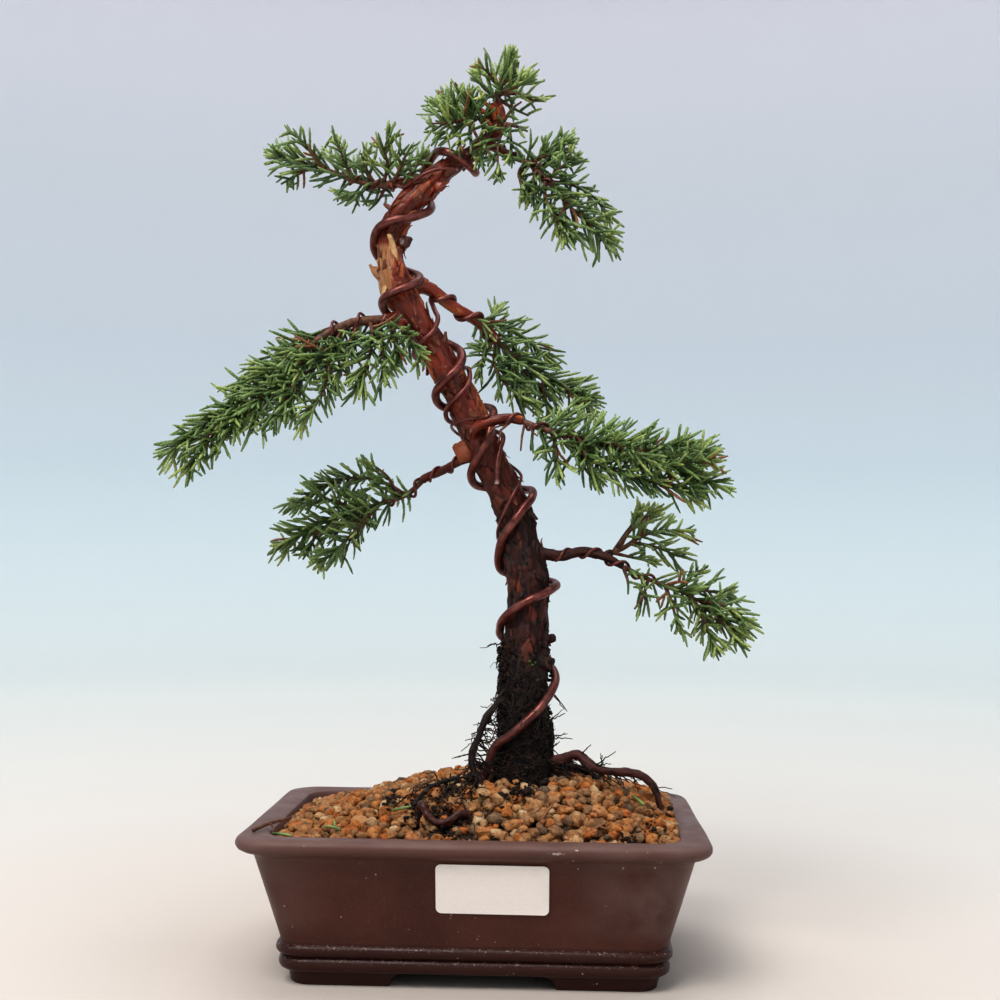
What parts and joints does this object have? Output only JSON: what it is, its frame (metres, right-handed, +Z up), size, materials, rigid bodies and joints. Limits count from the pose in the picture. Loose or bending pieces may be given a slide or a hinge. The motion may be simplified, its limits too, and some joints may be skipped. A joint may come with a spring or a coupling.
{
  "type": "potted juniper bonsai",
  "caption": "Small wired juniper tree with a curved tapering trunk, side branches of fine scale-leaf foliage and surface roots, standing in gravel in a low rectangular clay pot.",
  "frame": {"origin": "on the ground under the middle of the whole object", "axes": "+Z up, the pot's long side along X, its front towards -Y"},
  "size_m": [0.2756, 0.15, 0.4391],
  "materials": {
    "clay": "unglazed dark brown clay with a satin surface",
    "screen": "black plastic mesh",
    "gravel": "rough orange and brown baked clay grains",
    "bark": "flaky red-brown bark, nearly black at the foot",
    "wire": "brown anodised satin metal",
    "foliage": "green scale leaves with a slight waxy sheen",
    "label": "smooth white paper, blank"
  },
  "bodies": {
    "root": {"pot": "clay", "drain_screen_left": "screen", "drain_screen_right": "screen", "gravel": "gravel", "trunk": "bark", "root_loop": "bark", "wire_trunk_thick": "wire", "wire_trunk_medium": "wire", "wire_top_left": "wire", "wire_top_right": "wire", "wire_left_upper": "wire", "wire_right_main": "wire", "wire_left_lower": "wire", "wire_right_lower": "wire", "foliage_top_left": "foliage", "foliage_crown_left": "foliage", "foliage_apex": "foliage", "foliage_crown_low": "foliage", "foliage_top_right": "foliage", "foliage_left_upper": "foliage", "foliage_back_right": "foliage", "foliage_right_main": "foliage", "foliage_left_lower": "foliage", "foliage_right_lower_upright": "foliage", "foliage_right_lower": "foliage", "label": "label"}
  },
  "joints": []
}
